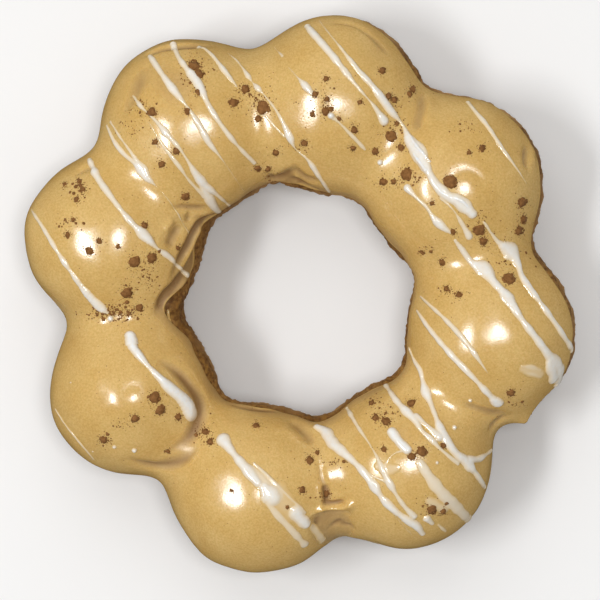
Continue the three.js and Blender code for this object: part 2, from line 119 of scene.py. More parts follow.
# Strands of drizzle: how full each one is, and its places in plan with the width there
STRANDS = (
    (1, ((-24.5, 38.4, 1.1), (-21.8, 34.5, 1), (-19.8, 31.9, 1.1), (-18.5, 30.3, 0.6), (-16.6, 27.4, 1.1),
         (-14.7, 24.1, 1), (-13.4, 22.5, 0.5), (-9.2, 16.5, 0.24))),
    (1, ((-20.7, 40.3, 1.1), (-20.2, 39, 0.9), (-16.6, 33.9, 1.5), (-14.7, 30, 1.1), (-10.8, 24.5, 0.8),
         (-7.5, 21.1, 0.8))),
    (1, ((-16.4, 40.2, 0.8), (-15.3, 39.4, 0.6), (-11.7, 35.2, 1), (-10.3, 33.4, 0.3))),
    (1, ((-11.7, 38.9, 0.3), (-10.4, 37.7, 0.6), (-9.5, 36.5, 0.5), (-8.5, 35, 1), (-7.9, 34.2, 0.4),
         (-7, 33.2, 1), (-6.2, 32.4, 0.3))),
    (1, ((-6.2, 32.4, 0.3), (-4.3, 30, 0.5), (-2.3, 26.4, 1), (-1.7, 25.1, 1.3), (-1.1, 23.7, 0.4),
         (1.4, 21.2, 1), (2.5, 19.6, 1.1), (4.6, 16.5, 0.8))),
    (0.7, ((-5.9, 29, 0.6), (-4.6, 27.4, 0.6), (-2.7, 25.4, 0.5))),
    (1, ((-27.5, 32.1, 0.3), (-26, 30.3, 0.8), (-25, 29.3, 0.4), (-23.1, 27.4, 0.8), (-21.8, 25.8, 1.3),
         (-19.5, 23.2, 0.6), (-18.2, 21.2, 0.6), (-16.9, 19.1, 1.5), (-15.3, 17.2, 1.5), (-13.7, 16, 0.8),
         (-11.4, 14.1, 0.8))),
    (0.8, ((-16.3, 18, 1.3), (-15.1, 15.7, 1.5), (-14.3, 14.3, 1.5), (-13, 12.8, 0.8))),
    (0.8, ((-24.7, 27.7, 0.24), (-22.8, 24.5, 0.5), (-19.5, 20.2, 0.8), (-18.2, 18.3, 0.6),
           (-15.6, 15.6, 1))),
    (1, ((-31.5, 27.1, 0.5), (-30.2, 24.5, 1), (-28.6, 22.5, 1), (-27.1, 21.2, 1.1), (-26, 20.2, 1.6),
         (-24.9, 18.6, 1.5), (-23.9, 17.7, 0.5), (-21.5, 15.1, 0.3), (-18.1, 9.6, 0.3))),
    (1, ((-30.9, 27.7, 0.5), (-28.9, 24.8, 0.6), (-27.3, 22.5, 0.6), (-26.3, 20.9, 1))),
    (1, ((-34.3, 21.5, 0.8), (-33.5, 19.6, 1.3), (-30.9, 15.7, 1), (-27.9, 11.8, 1.1), (-25, 8.9, 1.5),
         (-23.2, 7.1, 0.6), (-21.6, 6, 1.2), (-20.2, 4.7, 0.7), (-18.2, 2.8, 0.8))),
    (1, ((-43.7, 13.4, 0.5), (-40.6, 8.3, 1), (-37, 2.8, 1.1), (-33.8, -1.1, 1.6), (-32.6, -2.3, 1.8),
         (-31.5, -3.2, 0.6))),
    (1.2, ((-27.8, -7, 2.3), (-27.3, -8.9, 1.7), (-26, -10.5, 1.1), (-22.1, -14.7, 1.6),
           (-18.5, -18.1, 2.6), (-17.6, -19.5, 2.9))),
    (0.8, ((-39.9, -19, 0.5), (-38.3, -21.5, 0.6), (-36.4, -23.8, 0.6), (-33.8, -27.1, 0.5))),
    (1, ((-12.6, -23.8, 2.3), (-11.1, -25.8, 1.6), (-9.8, -27.4, 1.6), (-8.2, -29.3, 1.7),
         (-6.9, -30.8, 1.5))),
    (1, ((-5.9, -31.5, 2.2), (-5.1, -32.5, 2.9), (-4.6, -33.1, 2.4))),
    (0.4, ((-9, -27.9, 1), (-7.4, -29.6, 2.2), (-5.6, -31.4, 3), (-4.4, -32.6, 2.6))),
    (0.14, ((-8.2, -28.8, 1.6), (-6.2, -30.6, 3), (-3.8, -33, 4), (-1.6, -35.2, 3.4), (0.3, -37.2, 2.6))),
    (1.1, ((-7.6, -27.6, 0.4), (-5.9, -29.1, 0.6), (-2.7, -32.3, 0.5), (0.7, -35.6, 0.5))),
    (1, ((-0.8, -35.6, 2.2), (0, -36.6, 2.6), (0.9, -37.4, 2.2))),
    (0.5, ((-5.4, -33.9, 1), (-3.9, -35.9, 1.1), (-2.1, -37.8, 1.2), (0.7, -40.8, 1.3))),
    (0.25, ((2, -38, 1.3), (3, -39.3, 1.6), (3.8, -40.4, 1.4))),
    (1, ((2.7, -21.7, 1.3), (4, -22.4, 2.1), (5.1, -24.1, 1.9), (7, -25.8, 1.3), (10, -28.7, 1.5),
         (11.4, -30.5, 1.6), (13.5, -33.5, 1.3), (17.4, -36.8, 1.5), (18.7, -37.6, 1.9),
         (19.8, -38.9, 1.1))),
    (0.7, ((11.9, -31.8, 0.5), (14.5, -35.2, 0.3), (18.5, -39.5, 0.3))),
    (0.9, ((7.5, -18.6, 0.8), (9, -21.2, 0.8), (11.3, -24.6, 0.4), (12.2, -26.1, 0.6), (14.5, -30.9, 1.3),
           (17.1, -34.8, 1), (18.4, -36.1, 1.3))),
    (0.9, ((10.6, -29, 0.8), (12.6, -30, 0.6), (14.5, -30.8, 0.8))),
    (1.2, ((14.8, -22.4, 1.6), (16.1, -24.1, 1.9), (17.3, -25.3, 1.8))),
    (0.55, ((19.4, -27.5, 1.3), (21.3, -30.3, 1.7), (23.2, -32.6, 2.3), (25.2, -34.5, 1.9),
            (27.3, -36.6, 1.6))),
    (0.9, ((20.6, -29.4, 0.3), (22.6, -31.8, 0.8), (24.2, -33.4, 0.5))),
    (0.2, ((20.9, -33.6, 1.4), (22.2, -34.4, 2.4), (23.4, -35, 1.6))),
    (0.9, ((20.5, -36.5, 1.2), (21.4, -37.3, 0.8))),
    (0.7, ((22.4, -37.5, 0.8), (23.5, -38.5, 0.6))),
    (0.18, ((12.6, -28, 1.4), (14, -28.5, 2.2), (15.6, -28.3, 1.4))),
    (0.7, ((17.3, -25.4, 0.5), (15.3, -25.9, 0.4), (14, -27.2, 0.4), (13.5, -28.7, 0.3))),
    (1, ((13.7, -14.7, 0.8), (15.8, -17.7, 1.1), (17.4, -19.3, 1.5), (18.5, -20.4, 1.5), (19.5, -22, 0.8),
         (21, -23.5, 1), (22.9, -25.4, 0.6), (25.5, -27.5, 0.8))),
    (1, ((18.7, -19.8, 1.3), (21, -21.9, 1), (22.4, -23.2, 1.5))),
    (1, ((17.6, -8.9, 0.5), (18.4, -10.9, 1), (19.4, -12.5, 1.3), (19.8, -14.1, 0.8), (20.2, -15.7, 1.6),
         (21, -17.5, 1), (21.8, -19.6, 1), (22.8, -22.2, 1.6), (25.5, -26.1, 1.6), (26.8, -27.1, 2.1),
         (28.1, -28.7, 1.3), (29.9, -31.3, 1.1))),
    (1, ((27.3, -26.9, 1.3), (29.1, -26.7, 1), (30.9, -25.4, 0.8))),
    (1.1, ((18.9, -2.8, 0.5), (20.3, -5, 1), (24.5, -10, 1.1), (29.1, -14.7, 1.1), (30.7, -16.4, 1.3),
           (32, -17.7, 2.1))),
    (1, ((19.5, -0.5, 0.5), (23.6, -4.4, 0.8), (27, -8.1, 1), (29.4, -11.5, 0.5), (30.4, -13, 0.16))),
    (1, ((25, 8.6, 0.6), (26.2, 7, 1), (27.8, 5, 1.3), (29.7, 3.9, 2.6), (31.3, 1.8, 1.6), (33, 0, 1.8),
         (36.2, -4.7, 1.3), (38.2, -7.3, 1.5), (40.1, -9.9, 1.9), (41.7, -12.2, 2.9), (41.7, -14.6, 1.5))),
    (1, ((29.7, 11.5, 0.5), (32, 8.3, 1), (33.9, 6.8, 3.2), (35.2, 4.7, 1.5), (35.9, 2.8, 1.3),
         (37.2, 0.8, 1.5), (39.1, -1.8, 1.1), (42.7, -7, 1.3), (44, -9.1, 1.1))),
    (1, ((3, 44.1, 0.3), (7, 39, 0.6), (9.3, 36.1, 1.1), (11.3, 33.9, 1), (14.8, 29.3, 1.5), (16, 28, 0.6),
         (16.6, 27.2, 0.6), (17.6, 24.9, 1.8), (19, 23, 2.9), (20, 20.9, 2.5), (20.7, 19.7, 1.3),
         (21.6, 18.1, 1.7), (22.8, 16.7, 2.1), (24.1, 15.6, 1.8), (25.2, 15.2, 1.7), (26.6, 14.1, 2.3),
         (27.8, 12.9, 2.0))),
    (3.4, ((17.4, 26.1, 0.4), (18.7, 24, 0.7), (19.9, 22.6, 0.7), (21, 21.3, 0.4))),
    (3.4, ((17.9, 23.2, 0.4), (18.9, 21.8, 0.7), (20.3, 19.9, 0.6))),
    (3.4, ((21.6, 17.9, 0.4), (23, 16.3, 0.6), (24.3, 15.5, 0.5))),
    (3.4, ((24.9, 15.6, 0.4), (26, 15.1, 0.6), (27.2, 14, 0.5))),
    (0.8, ((22.8, 15.4, 0.6), (24.9, 13.3, 0.5), (26.2, 11.2, 0.8), (27.3, 9.2, 1.3))),
    (1, ((1.1, 43.1, 1.3), (5.4, 38.1, 1.3), (7.7, 35.2, 1.1), (9.6, 32.9, 0.6), (11.6, 30.6, 0.5),
         (12.6, 29.2, 1), (13.5, 27.9, 1.6))),
    (0.8, ((-4.5, 40, 0.24), (-3, 38.4, 0.6))),
    (1, ((-1.9, 36.5, 0.24), (-0.4, 34.8, 0.4), (0.9, 33.4, 1.1), (2.2, 31.9, 0.5))),
    (0.7, ((4.9, 28.7, 1.1), (6.1, 27.7, 0.5), (7.7, 26.1, 0.8), (9.3, 24.5, 1), (10.4, 23.3, 0.5))),
    (1, ((17.3, 17, 1.5), (18.7, 15.6, 0.8), (20.3, 14.1, 0.6), (21.6, 12.2, 1), (22.9, 10.9, 1.5),
         (24.2, 9.9, 0.6))),
    (0.9, ((27.1, 30.8, 0.8), (30.4, 26.7, 1), (33.3, 22.5, 0.8), (34.6, 20.6, 0.5), (36.5, 17.8, 0.24))),
    (1, ((40.2, -11, 1.6), (40.7, -12.5, 2.6), (41, -13.8, 2))),
    (0.17, ((36, -12.2, 1.7), (37.3, -12.5, 2.3), (38.8, -13, 1.9))),
    (0.45, ((35.8, -11.7, 0.5), (37.2, -11.8, 0.8), (38.8, -12.3, 0.5))),
    (0.4, ((36.2, -12.8, 0.4), (37.6, -13, 0.7), (38.9, -13.5, 0.4))),
)

# Drops of drizzle in plan, with their radius
DROPS = (
    (12.9, 21.2, 0.6), (4.9, 28.7, 0.6), (-31, -4.2, 0.5), (-30.4, -25.1, 0.4), (-27.1, -25.6, 0.4),
    (-33.9, -25.9, 0.21), (-37.5, -14.6, 0.21), (27.5, -17.3, 0.4), (24.9, -21.7, 0.4), (22.1, -27.4, 0.3),
)

# Cocoa: seed, limits of a bit's rise in millimetres and as a share of its radius, and lumps on it
COCOA_SEED = 21
COCOA_RISE = 0.35
COCOA_RISE_SHARE = 0.7
LUMPS = {"size": 0.12, "seed": 31, "waves": 6}

# A clump's heart, and crumbs round it: number to start with and for each millimetre of radius, lobes as
# count and size, distance and size as shares of the radius, and limits of size
HEART_SHARE = 0.85
CRUMB_NUMBER = (8, 20)
CRUMB_LOBES = ((2, 0.14), (3, 0.1))
CRUMB_OUT = (0.5, 0.84)
CRUMB_SHARE = (0.17, 0.3)
CRUMB_LIMITS = (0.1, 0.26)

# Grains beyond the crumbs: number in the same way, least distance and mean of the rest, and sizes
GRAIN_NUMBER = (10, 26)
GRAIN_FROM = 0.9
GRAIN_FURTHER = 0.5
GRAIN_SIZES = (0.04, 0.11)

# Clumps in plan, with their radius
CLUMPS = (
    (-17.4, 36.8, 1), (-16.6, 35.5, 0.9), (-9, 33, 0.8), (-10.9, 30.9, 0.8), (-6.1, 30, 1.2),
    (-24.2, 29.3, 0.8), (-18.7, 15.6, 0.7), (-27, 5, 1), (-24.2, 5.7, 0.9), (-28.1, 0, 1),
    (-34.4, 6.8, 0.7), (4.1, 29.5, 0.7), (14.7, 25.4, 1), (17.1, 19.3, 1.1), (13.4, 18.1, 0.7),
    (24.2, 18.1, 1.2), (35.9, 14.7, 0.9), (36, 12, 0.7), (28.9, 10.2, 1), (33.8, 2.4, 1.1), (-23.9, -17, 1),
    (-22.9, -19, 0.9), (-27, -20.4, 0.7), (-32.2, -24, 0.7), (1.5, -27.1, 0.7), (13.9, -20.7, 0.8),
    (17.9, -17.7, 0.7), (19.7, -25.6, 0.9), (21.3, -35, 0.9), (34.1, -16, 0.7), (-16.6, 32.6, 0.6),
    (-6.9, 28.2, 0.6), (-18.4, 29.5, 0.6), (-23.7, 24.5, 0.5), (-20.2, 23, 0.6), (-22.6, 20.9, 0.6),
    (-7, 20.2, 0.6), (-4, 22.8, 0.6), (-5.3, 20.1, 0.5), (-25.4, 10.9, 0.6), (-37.9, 9.4, 0.5),
    (-32.8, 8.4, 0.5), (-36.5, 15.1, 0.45), (-38.4, 17.6, 0.4), (-29.7, 7.5, 0.4), (-36, 18.1, 0.45),
    (-35.4, 16.7, 0.45), (-35.8, 17.4, 0.35), (-20, 7.3, 0.4), (-37, 11.8, 0.35), (13.2, 36, 0.6),
    (2.3, 32.2, 0.6), (4.3, 31.4, 0.5), (4.9, 29.8, 0.5), (1.9, 29, 0.5), (6.2, 28.2, 0.4),
    (9.6, 30.9, 0.4), (4.1, 34.7, 0.5), (14.2, 31.9, 0.6), (15.1, 31.3, 0.6), (18.1, 33, 0.6),
    (17.6, 32.2, 0.5), (8.7, 26.4, 0.6), (16.3, 23.7, 0.6), (12.1, 23, 0.6), (8.5, 23.5, 0.5),
    (15.6, 27.5, 0.4), (0.6, 24.3, 0.6), (15.1, 18.1, 0.5), (29.4, 23.5, 0.6), (27.3, 22.8, 0.4),
    (29.6, 8.4, 0.7), (24.7, 10, 0.5), (22.9, 5, 0.6), (25.7, -0.2, 0.6), (23.7, 0.8, 0.5),
    (19.7, 6.6, 0.4), (21.3, 14.6, 0.4), (-20, -20.2, 0.6), (-21.6, -25.9, 0.4), (-7.2, -21.4, 0.6),
    (-14.7, -24.1, 0.6), (-15.5, -22.5, 0.6), (-26.2, -2.4, 0.7), (-2.2, -34.7, 0.4), (0.2, -31.9, 0.6),
    (-11.3, -32.1, 0.3), (2.7, -25.9, 0.4), (4.3, -32.7, 0.6), (12.2, -20.1, 0.6), (11.6, -17.8, 0.5),
    (13.5, -25.3, 0.5), (18.1, -26.4, 0.7), (23.2, -24.5, 0.6), (23.7, -33.9, 0.5), (23.2, -35.3, 0.6),
    (35.2, 10.2, 0.8),
)

# Dust: spread, least size and mean of the rest; patches with place in plan, spread both ways and number
DUST_SPREAD = 0.6
DUST_LEAST = 0.05
DUST_MORE = 0.05
DUST = (
    (-30.6, -3.3, 3.4, 1.4, 420), (-25.2, 2.9, 2.3, 2.6, 120), (-15.6, -22.5, 1.5, 1.6, 80),
    (-17.3, 36.1, 2.1, 2.1, 170), (-36, 16.4, 1.5, 1.6, 50), (-38.2, 11.5, 1.8, 1.5, 40),
    (-26, 30, 1.6, 1.3, 70), (-27.6, 26.7, 1.9, 1.6, 40), (26.8, 26.9, 2.1, 1, 26),
    (29.1, 12.2, 1.5, 1.5, 30), (20.7, 7, 1.5, 1.1, 26), (24.2, 0.3, 1.5, 1.1, 30),
    (14.2, -19.3, 1.8, 1.5, 60), (12.1, -17.7, 1.1, 1.3, 30), (6.1, -27.5, 2.1, 0.6, 26),
    (35.6, -18, 1.3, 0.6, 30), (-31.8, -23.8, 1.1, 1, 24), (-29.2, -21.5, 1.1, 0.8, 20),
    (-7.4, 31.3, 2.9, 2.3, 110), (3.5, 30.9, 2.6, 2.3, 70), (14.8, 28, 2.3, 3.2, 60),
    (17.4, 18.3, 2.3, 1.6, 60), (-0.1, 23.8, 1.9, 1.3, 24), (32.3, 7, 3.9, 3.6, 100),
    (21.3, -34.8, 1.9, 1.5, 36), (3.5, -33.2, 1.3, 0.8, 24), (-5.3, 19.1, 1.3, 1.3, 30),
)

# Loose grains all round the ring: number, spread from the core circle and its limit, and sizes
LOOSE_GRAINS = 400
LOOSE_SPREAD = 6.0
LOOSE_LIMIT = 11
LOOSE_SIZES = (0.04, 0.1)

# Creases and ridges in the icing: places in plan, half width, and rise of the surface along them
CREASES = (
    (((-25, 38.6), (-22.8, 39.5), (-19.5, 40), (-15.3, 40.2)), 0.5, -0.9),
    (((-26, 36.5), (-27.1, 32.1), (-29.6, 28)), 1.1, -0.4),
    (((-36.4, 19.3), (-35.1, 20.1), (-33.6, 20.2)), 0.5, -0.5),
    (((-21, 13.9), (-19.2, 13.9), (-17.1, 13.7), (-15, 13.6)), 0.3, -0.6),
    (((-20.6, 13.2), (-17.6, 12.9), (-14.8, 12.8)), 0.35, 0.3),
    (((-18.1, 13.3), (-18.2, 11.4)), 0.4, -0.45),
    (((-19.2, 11), (-20.4, 9.7), (-21, 8.4), (-21.6, 6.9)), 0.9, -0.75),
    (((-22.2, 10), (-20.6, 11.9)), 0.5, 0.4),
    (((-11.6, 13.5), (-14, 12.4), (-16.4, 11.2), (-17.1, 10.2), (-18.4, 7.6), (-19.5, 5.5),
      (-20.6, 2.9)), 0.5, -1.1),
    (((-14, 11.4), (-16.9, 7.4), (-18.7, 3.8), (-21, 0), (-22.6, -2.6)), 1.5, -0.3),
    (((-12.4, 12.5), (-15, 11.4), (-16, 10.6), (-16.9, 9.4), (-17.5, 7.8), (-18.5, 5.4),
      (-19.1, 3.8)), 0.4, 0.5),
    (((-18.5, 3.7), (-19.8, 1.9), (-20.6, 0.9), (-21.8, -0.2), (-22.6, -1.5), (-23.3, -3)), 0.6, -1.1),
    (((-18.2, 2.5), (-19.5, 0.9), (-20.8, -0.6)), 0.35, 0.3),
    (((-5.2, 19.2), (-4.6, 18.7), (-3.2, 18.7), (-2, 19.3), (-1.1, 20.1)), 0.55, -0.95),
    (((-1.1, 20.1), (0.4, 18.8), (3, 18)), 0.45, -0.6),
    (((-2.5, 18), (-1.2, 18.3), (1.1, 17.2), (3.2, 16.4)), 0.5, -0.7),
    (((-23.1, -10.9), (-20.3, -12.6), (-17.9, -15.1), (-16.4, -17.7), (-16.6, -20.6), (-18.2, -23.5),
      (-21.5, -25.8)), 0.85, -1.1),
    (((-28, -27.2), (-22.8, -28.2), (-19.8, -27.4), (-16.5, -25)), 0.7, -0.8),
    (((-28.9, -17), (-28.3, -15.7), (-27, -15.2), (-26.2, -16.2)), 0.6, -0.15),
    (((-11.1, -18.1), (-8.2, -18.6), (-4, -19)), 0.4, -0.35),
    (((-1.8, -20.6), (0.6, -22.4), (2.2, -24.8)), 0.9, -0.6),
    (((3.1, -26.9), (3.5, -30.3), (3.9, -31.9), (4, -33.5)), 0.4, -0.5),
    (((3.2, -30.4), (3.3, -32.4), (3.4, -33.6), (3.4, -35)), 0.3, 0.45),
    (((2, -36.2), (3.6, -35.1), (5.6, -34.95), (6.9, -34.75), (8.6, -34.1)), 0.4, 0.7),
    (((3.9, -31), (4.1, -32.6), (4.1, -34.2)), 0.45, -0.9),
    (((3.4, -34.1), (5, -34.2), (7.2, -33.8)), 0.3, -1.0),
    (((0.9, -37.4), (2.8, -35.9), (5.3, -35.4), (7.3, -35.5), (8.8, -36.5)), 0.25, -0.35),
    (((2.9, -36.2), (2.7, -38.2)), 0.4, -0.35),
    (((4.8, -38.4), (5.7, -37.6), (6.4, -37.2), (6.9, -37.7), (7.9, -37.9), (8.8, -38.5)), 0.25, -0.45),
    (((26, -17.6), (28.6, -18.6), (31.3, -19.4), (33.6, -19.6)), 0.55, -0.65),
    (((30.5, -22.2), (31.8, -20.7), (33.6, -19.8)), 0.6, -0.6),
    (((19.9, 32.8), (19.9, 30.5), (19.3, 28.2), (18.3, 26)), 0.75, -0.5),
    (((20.9, 31.8), (20.8, 29.5), (20.2, 27.4)), 0.6, 0.35),
    (((36.7, 23.9), (36.4, 21.7), (36.7, 20)), 0.5, -0.7),
    (((37.7, 23.7), (37.5, 22), (37.7, 20.6)), 0.4, 0.3),
    (((4.8, 43.9), (8.3, 43.4), (11.6, 41.5), (14.2, 38.9)), 0.4, -0.3),
    (((24.5, 19), (26.8, 19.9), (28.8, 19), (29.4, 17.2)), 0.7, -0.2),
)

# Creases: step, rounding at the bottom, spread and search in half widths, share of the length that fades
# at each end, share of the rise left there, and depth that no fold passes
CREASE_STEP = 0.25
CREASE_ROUND = 0.25
CREASE_SPREAD = 2.5
CREASE_SEARCH = 3
CREASE_FADE = 0.25
CREASE_END = 0.2
FOLD_LIMIT = 0.92

# Swells and dents in the icing: place in plan, radius and rise
SWELLS = (
    (-28.4, -17.2, 4.0, 0.5), (-21, 33, 5.0, -0.3), (-32.6, -3.7, 1.2, 0.12), (-30.4, -3.3, 1.1, -0.14),
    (-28.2, -3.7, 1.1, 0.1), (5.3, -29.6, 1.8, 0.3), (-30.4, -17.2, 1.5, 0.08), (20.6, 16.9, 2.2, 0.14),
    (26.5, 5.2, 2.4, -0.12), (8, -34.3, 0.7, 0.35), (-24.8, 16.3, 2.6, -0.12),
)

# Flat-floored pocket at the bottom neck, where height counts only by a share in the distance
POCKET = {"at": (5.2, -38.2), "radius": 3.5, "depth": 0.5, "steepness": 8, "height_share": 0.4}

# Pointed flap of icing in a notch: place round the ring, angle round the section, width and rise
FLAP = {"turn": 331.6, "angle": 5.0, "width": 2.0, "rise": 2.0}

# Thread of icing over the edge: depth of its middle, step, how blunt its ends are, and places with width
THREAD_DEPTH = -0.45
THREAD_STEP = 0.1
THREAD_TAPER = 12
THREAD_PLACES = ((-21.6, -2.6, 0.5), (-21.5, -4, 0.6), (-20.8, -6.2, 0.7))

# Beads along the edge at the hole: degrees past it, depth, and place round the ring with radius
BEAD_PAST_EDGE = 1.5
BEAD_DEPTH = -0.35
BEADS = ((228.5, 0.45), (230.2, 0.35), (232, 0.5), (234, 0.4), (236, 0.32), (238.5, 0.3))

# Colours as a picture shows them, from 0 to 255, and the floor's as linear ones
ICING_DARK = ((203, 163, 91), (211, 173, 103))
ICING_PALE = ((218, 179, 108), (226, 190, 122))
# Painted shade for the icing's creases, dents, pocket and hole edge, partly also the browner colour of icing
# pooled in the creases
ICING_PAINTED_SHADE = (132, 90, 32)
DOUGH_TONES = ((132, 92, 38), (178, 132, 64))
DOUGH_CRUMBS = (106, 68, 26)
DOUGH_WAIST = (190, 146, 86)
DRIZZLE_THIN = (230, 204, 158)
DRIZZLE_THICK = (240, 242, 242)
DRIZZLE_STREAKS = (230, 208, 176)
DRIZZLE_EDGE = (215, 176, 106)
COCOA_TONES = ((111, 72, 33), (146, 101, 54))
FLOOR_TONES = ((0.83, 0.83, 0.83, 1), (0.85, 0.85, 0.85, 1))

# Half width of the floor in metres
FLOOR_HALF = 3.0

# Lamps in metres and watts: name, shape, place, width, length, power, and whether gloss shows it
LAMPS = (
    ("left_strip", "RECTANGLE", (-0.62, -0.09, 1.12), 0.2, 0.56, 6.5, True),
    ("overhead", "ELLIPSE", (0.22, 0.03, 1.35), 0.38, 0.4, 5.6, True),
    ("top_fill", "RECTANGLE", (-0.1, 0.87, 1.0), 1.2, 1.2, 4.8, False),
)

# Even light from all round
SKY_COLOUR = (1.0, 0.985, 0.96, 1)
SKY_STRENGTH = 0.32

# Mesh steps, and how many of the drizzle's make one of the icing's
RING_STEPS = 576
COAT_STEPS = 134
LIP_STEPS = 8
BACK_STEPS = 6
DOUGH_RING_STEPS = 560
DOUGH_STEPS = 160
FINE = 2

# Facets from pole to pole and round
COCOA_FACETS = {"heart": (8, 14), "crumb": (4, 7), "grain": (3, 5)}
BEAD_FACETS = (8, 12)
THREAD_FACETS = (24, 10)

# Search for a surface: halvings, ranges along a ray and upwards, nudge that slopes are read over, and
# least number in place of 0
HALVINGS = 34
RAY_RANGE = (1.0, 24.0)
HEIGHT_RANGE = (0.0, 20.0)
NUDGE = 0.02
TINY = 1e-9

# Fewest points on a path, and number measured at once
FEWEST_STATIONS = 4
PATH_CHUNK = 16

# Noise: number of waves and range of their pitch
RIPPLE_WAVES = 28
RIPPLE_PITCH = (0.5, 1.3)


def last_inside(low, high, test):
    """Largest values in low..high for which the test still holds."""
    for _ in range(HALVINGS):
        middle = (low + high) / 2
        inside = test(middle)
        low = np.where(inside, middle, low)
        high = np.where(inside, high, middle)
    return low


def depth_field(x, y, z):
    """Rough distance of points from the icing's smooth surface, negative inside, z from the centre plane."""
    total = 0.0
    for angle, ring, wide, long in BALLS:
        turn = np.radians(angle)
        across = x * np.cos(turn) + y * np.sin(turn) - ring
        along = y * np.cos(turn) - x * np.sin(turn)
        size = np.sqrt((across / wide) ** 2 + (along / long) ** 2 + (z / BALL_HALF_HEIGHT) ** 2)
        slope = np.sqrt((across / wide**2) ** 2 + (along / long**2) ** 2 + (z / BALL_HALF_HEIGHT**2) ** 2)
        total = total + np.exp(-size * (size - 1) / np.maximum(slope, TINY) / MELT)
    return -MELT * np.log(total)


def surface_points(theta, phi, level):
    """Points on the surface at a depth level, along rays from the core circle."""
    theta, phi, level = np.broadcast_arrays(theta, phi, level)

    def place(reach):
        radius = CORE_RADIUS + reach * np.cos(phi)
        return radius * np.cos(theta), radius * np.sin(theta), reach * np.sin(phi)

    low, high = (np.full(theta.shape, end) for end in RAY_RANGE)
    reach = last_inside(low, high, lambda length: depth_field(*place(length)) < level)
    return np.stack(place(reach), axis=-1)


def surface_normals(points):
    """Outward normals of the depth field."""
    slope = np.empty(points.shape)
    for axis, step in enumerate(NUDGE * np.eye(3)):
        ahead, behind = (np.moveaxis(moved, -1, 0) for moved in (points + step, points - step))
        slope[..., axis] = depth_field(*ahead) - depth_field(*behind)
    return slope / norm(slope, axis=-1, keepdims=True)


def eye_point():
    """Eye in the centre plane's frame."""
    tilt, turn = np.radians(EYE_TILT), np.radians(EYE_TURN)
    away = np.array([np.sin(tilt) * np.cos(turn), np.sin(tilt) * np.sin(turn), np.cos(tilt)])
    return EYE_DISTANCE * away + (*LOOK_AT, 0)


def seen_points(plan, level=0.0):
    """Points at a depth level that the eye sees over places in the centre plane."""
    plan = np.asarray(plan, float)
    eye = eye_point()
    lean = (eye[:2] - plan) / eye[2]

    def place(height):
        return plan[:, 0] + lean[:, 0] * height, plan[:, 1] + lean[:, 1] * height, height

    low, high = (np.full(len(plan), end) for end in HEIGHT_RANGE)
    height = last_inside(low, high, lambda z: depth_field(*place(z)) < level)
    return np.stack(place(height), axis=-1)


def edge_angle(edge, theta):
    """Angle round the section where the icing ends."""
    turn = np.degrees(theta)
    angle = np.full(theta.shape, float(edge["base"]))
    for count, size, start in edge["waves"]:
        angle += size * np.sin(np.radians(count * turn + start))
    for place, spread, rise in edge["rises"]:
        away = (turn - place + 180) % 360 - 180
        angle += rise * np.exp(-((away / spread) ** 2))
    return np.radians(angle)


def smooth_step(share):
    """Share from 0 to 1 that starts and ends gently."""
    return share * share * (3 - 2 * share)


def ripple(points, scale, seed, count=RIPPLE_WAVES):
    """Smooth seeded noise of about unit size, with bumps of the given scale."""
    draw = np.random.default_rng(seed)
    way = draw.normal(size=(count, 3))
    way /= norm(way, axis=1, keepdims=True)
    pitches = 2 * np.pi / scale * draw.uniform(*RIPPLE_PITCH, count)
    starts = draw.uniform(0, 2 * np.pi, count)
    total = np.zeros(points.shape[:-1])
    for direction, pitch, start in zip(way, pitches, starts):
        total += np.cos(points @ direction * pitch + start)
    return total * np.sqrt(2 / count)


def layered(points, layers):
    """Sum of layers of noise, each a height, scale and seed."""
    return sum(height * ripple(points, scale, seed) for height, scale, seed in layers)


def path_points(corners, step):
    """Evenly spaced points on a smooth curve through a few places in plan."""
    corners = np.asarray(corners, float)
    spans = norm(np.diff(corners[:, :2], axis=0), axis=1)
    marks = np.concatenate([[0], np.cumsum(spans)])
    wanted = np.linspace(0, marks[-1], max(FEWEST_STATIONS, int(marks[-1] / step) + 1))
    slopes = np.gradient(corners, marks, axis=0)
    piece = np.clip(np.searchsorted(marks, wanted, side="right") - 1, 0, len(spans) - 1)
    share = ((wanted - marks[piece]) / spans[piece])[:, None]
    span = spans[piece][:, None]
    start, end = corners[piece], corners[piece + 1]
    into, out = slopes[piece] * span, slopes[piece + 1] * span
    ease = smooth_step(share)
    return (start * (1 - ease) + end * ease + into * share * (1 - share) ** 2
            - out * share * share * (1 - share))


def points_near(points, path, reach):
    """Which points lie in the box round a path, widened by a reach."""
    low, high = path.min(axis=0) - reach, path.max(axis=0) + reach
    return np.flatnonzero(np.all((points > low) & (points < high), axis=1))


def nearest(points, path):
    """Distance from each point to a path of close-set points, and which one is nearest."""
    best = np.full(len(points), np.inf)
    which = np.zeros(len(points), int)
    for start in range(0, len(path), PATH_CHUNK):
        gaps = norm(points[:, None] - path[None, start:start + PATH_CHUNK], axis=2)
        closest = gaps.argmin(axis=1)
        gap = gaps[np.arange(len(points)), closest]
        better = gap < best
        best[better] = gap[better]
        which[better] = closest[better] + start
    return best, which


def crease_rise(points, corners, wide, height):
    """Which points a crease or ridge reaches, and the rise of the surface at each."""
    path = seen_points(path_points(corners, CREASE_STEP))
    close = points_near(points, path, CREASE_SEARCH * wide)
    gap, which = nearest(points[close], path)
    gap = np.hypot(gap, CREASE_ROUND) - CREASE_ROUND
    share = which / (len(path) - 1)
    fade = np.clip(np.minimum(share, 1 - share) / CREASE_FADE, 0, 1)
    profile = np.clip(1 - gap / (CREASE_SPREAD * wide), 0, 1) ** 2
    return close, height * profile * (CREASE_END + (1 - CREASE_END) * fade)


def swell_rise(points, x, y, radius, height):
    """Rise of a round swell, or fall of a dent."""
    away = norm(points - seen_points([(x, y)]), axis=1)
    return height * np.exp(-((away / radius) ** 2))


